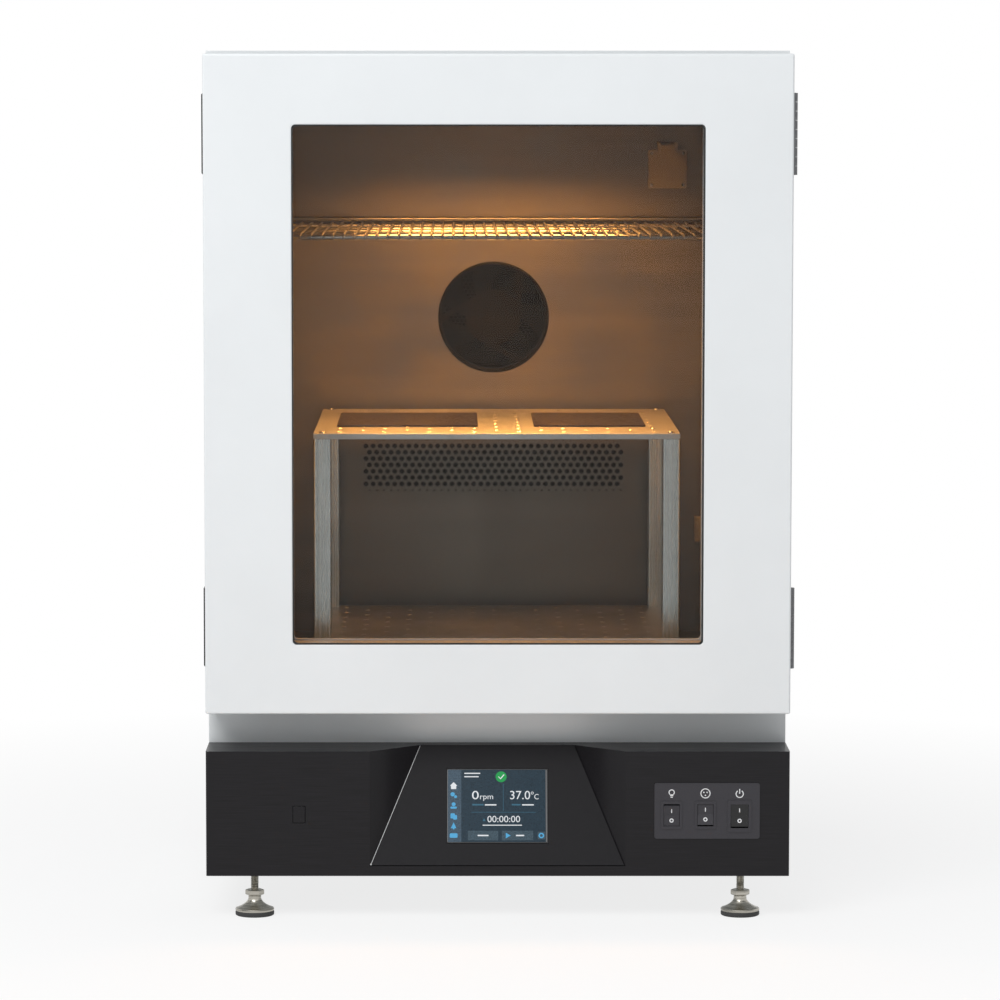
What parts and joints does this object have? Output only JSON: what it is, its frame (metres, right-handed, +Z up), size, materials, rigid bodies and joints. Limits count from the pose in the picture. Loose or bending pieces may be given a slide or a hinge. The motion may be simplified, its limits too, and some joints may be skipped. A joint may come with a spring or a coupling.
{
  "type": "stackable incubator shaker",
  "caption": "Heated cabinet with a windowed door, a touch-screen console and a two-tier platform that orbits on eccentric shafts to shake culture flasks.",
  "frame": {"origin": "on the floor under the middle of the object's outline, feet included", "axes": "+Z up, the door and console face -Y, +X to the right as seen from the front"},
  "size_m": [0.7275, 0.812, 1.0563],
  "materials": {
    "door_enamel": "satin",
    "cabinet_enamel": "satin",
    "zinc_steel": "satin",
    "stainless_sheet": "satin",
    "anodised_aluminium": "satin",
    "console_plastic": "matte",
    "switch_grey": "satin",
    "gloss_black": "gloss",
    "screen_glass": "gloss",
    "clear_glass": "gloss",
    "black_rubber": "matte",
    "grey_seal": "matte",
    "mineral_wool": "matte",
    "brown_mat": "satin",
    "machined_iron": "satin",
    "bearing_steel": "polished",
    "motor_paint": "satin",
    "fan_black": "satin",
    "socket_plastic": "satin",
    "lamp_lens": "gloss",
    "circuit_board": "satin",
    "inlet_black": "matte"
  },
  "bodies": {
    "cabinet": {"side_panels": "cabinet_enamel", "top_panel": "cabinet_enamel", "rear_panel": "cabinet_enamel", "face_frame": "cabinet_enamel", "base_pan": "zinc_steel", "drive_deck": "zinc_steel", "hinge_cabinet_leaves": "zinc_steel", "heater_ring": "zinc_steel", "chamber_liner": "stainless_sheet", "duct_panel": "stainless_sheet", "shelf_rails": "stainless_sheet", "console_shell": "console_plastic", "display_panel": "console_plastic", "port_cover": "console_plastic", "hinge_seat_covers": "console_plastic", "switch_plate": "switch_grey", "switch_housings": "switch_grey", "display_module": "screen_glass", "drive_belt": "black_rubber", "insulation": "mineral_wool", "bearing_housings": "machined_iron", "shaft_bearings": "bearing_steel", "drive_motor": "motor_paint", "fan_motor": "motor_paint", "fan_grille": "fan_black", "fan_frame": "fan_black", "outlet_plate": "socket_plastic", "temperature_probe": "socket_plastic", "chamber_lamp": "lamp_lens", "control_board": "circuit_board", "mains_inlet": "inlet_black"},
    "door": {"door_skin": "door_enamel", "door_core": "mineral_wool", "door_back_frame": "door_enamel", "door_seal": "grey_seal", "window_gasket": "black_rubber", "outer_glass": "clear_glass", "window_spacer": "anodised_aluminium", "inner_glass": "clear_glass", "hinge_door_leaves": "zinc_steel"},
    "main_drive": {"main_eccentric": "machined_iron", "drive_pulley": "machined_iron"},
    "left_idler": {"idler_eccentric_left": "machined_iron"},
    "right_idler": {"idler_eccentric_right": "machined_iron"},
    "motor_rotor": {"motor_pulley": "machined_iron"},
    "platform": {"carriage": "anodised_aluminium", "lower_platform": "anodised_aluminium", "tier_platform": "anodised_aluminium", "tier_posts": "anodised_aluminium", "sticky_mats": "brown_mat"},
    "fan_rotor": {"fan_impeller": "fan_black"},
    "light_switch": {"light_rocker": "switch_grey"},
    "outlet_switch": {"outlet_rocker": "switch_grey"},
    "power_switch": {"power_rocker": "gloss_black"},
    "outlet_cover": {"outlet_lid": "socket_plastic"},
    "shelf": {"wire_shelf": "stainless_sheet"},
    "front_left_foot": {"foot_front_left": "zinc_steel"},
    "front_right_foot": {"foot_front_right": "zinc_steel"},
    "rear_left_foot": {"foot_rear_left": "zinc_steel"},
    "rear_right_foot": {"foot_rear_right": "zinc_steel"}
  },
  "joints": [
    {"name": "door_hinge", "type": "hinge", "parent": "cabinet", "child": "door", "pos_m": [0.3605, -0.327, 0.6523], "axis": [0, 0, 1], "range_deg": [0, 130]},
    {"name": "main_spin", "type": "hinge", "parent": "cabinet", "child": "main_drive", "pos_m": [0, 0.0822, 0.2], "axis": [0, 0, 1], "continuous": true},
    {"name": "platform_orbit", "type": "hinge", "parent": "main_drive", "child": "platform", "pos_m": [0, 0.0949, 0.305], "axis": [0, 0, 1], "continuous": true},
    {"name": "left_idler_spin", "type": "hinge", "parent": "cabinet", "child": "left_idler", "pos_m": [-0.14, -0.1178, 0.2], "axis": [0, 0, 1], "continuous": true},
    {"name": "right_idler_spin", "type": "hinge", "parent": "cabinet", "child": "right_idler", "pos_m": [0.14, -0.1178, 0.2], "axis": [0, 0, 1], "continuous": true},
    {"name": "motor_spin", "type": "hinge", "parent": "cabinet", "child": "motor_rotor", "pos_m": [0.19, 0.0822, 0.137], "axis": [0, 0, 1], "continuous": true},
    {"name": "fan_spin", "type": "hinge", "parent": "cabinet", "child": "fan_rotor", "pos_m": [0, 0.272, 0.7043], "axis": [0, 1, 0], "continuous": true},
    {"name": "light_rocker_tilt", "type": "hinge", "parent": "cabinet", "child": "light_switch", "pos_m": [0.212, -0.3965, 0.1283], "axis": [1, 0, 0], "range_deg": [-12, 0]},
    {"name": "outlet_rocker_tilt", "type": "hinge", "parent": "cabinet", "child": "outlet_switch", "pos_m": [0.2532, -0.3965, 0.1283], "axis": [1, 0, 0], "range_deg": [0, 12]},
    {"name": "power_rocker_tilt", "type": "hinge", "parent": "cabinet", "child": "power_switch", "pos_m": [0.2949, -0.3965, 0.127], "axis": [1, 0, 0], "range_deg": [0, 12]},
    {"name": "outlet_lid_hinge", "type": "hinge", "parent": "cabinet", "child": "outlet_cover", "pos_m": [0.2328, 0.2427, 0.934], "axis": [-1, 0, 0], "range_deg": [0, 100], "stiffness_Nm_per_rad": 0.03, "springref_deg": -11.46},
    {"name": "shelf_lift", "type": "slide", "parent": "cabinet", "child": "shelf", "axis": [0, 0, 1], "range_m": [0, 0.012]},
    {"name": "front_left_foot_screw", "type": "slide", "parent": "cabinet", "child": "front_left_foot", "axis": [0, 0, 1], "range_m": [-0.01, 0.01]},
    {"name": "front_right_foot_screw", "type": "slide", "parent": "cabinet", "child": "front_right_foot", "axis": [0, 0, 1], "range_m": [-0.01, 0.01]},
    {"name": "rear_left_foot_screw", "type": "slide", "parent": "cabinet", "child": "rear_left_foot", "axis": [0, 0, 1], "range_m": [-0.01, 0.01]},
    {"name": "rear_right_foot_screw", "type": "slide", "parent": "cabinet", "child": "rear_right_foot", "axis": [0, 0, 1], "range_m": [-0.01, 0.01]}
  ],
  "couplings": [
    {"joint": "main_spin", "follows": "platform_orbit", "ratio": -1},
    {"joint": "left_idler_spin", "follows": "platform_orbit", "ratio": -1},
    {"joint": "right_idler_spin", "follows": "platform_orbit", "ratio": -1},
    {"joint": "motor_spin", "follows": "platform_orbit", "ratio": -3.0382}
  ]
}
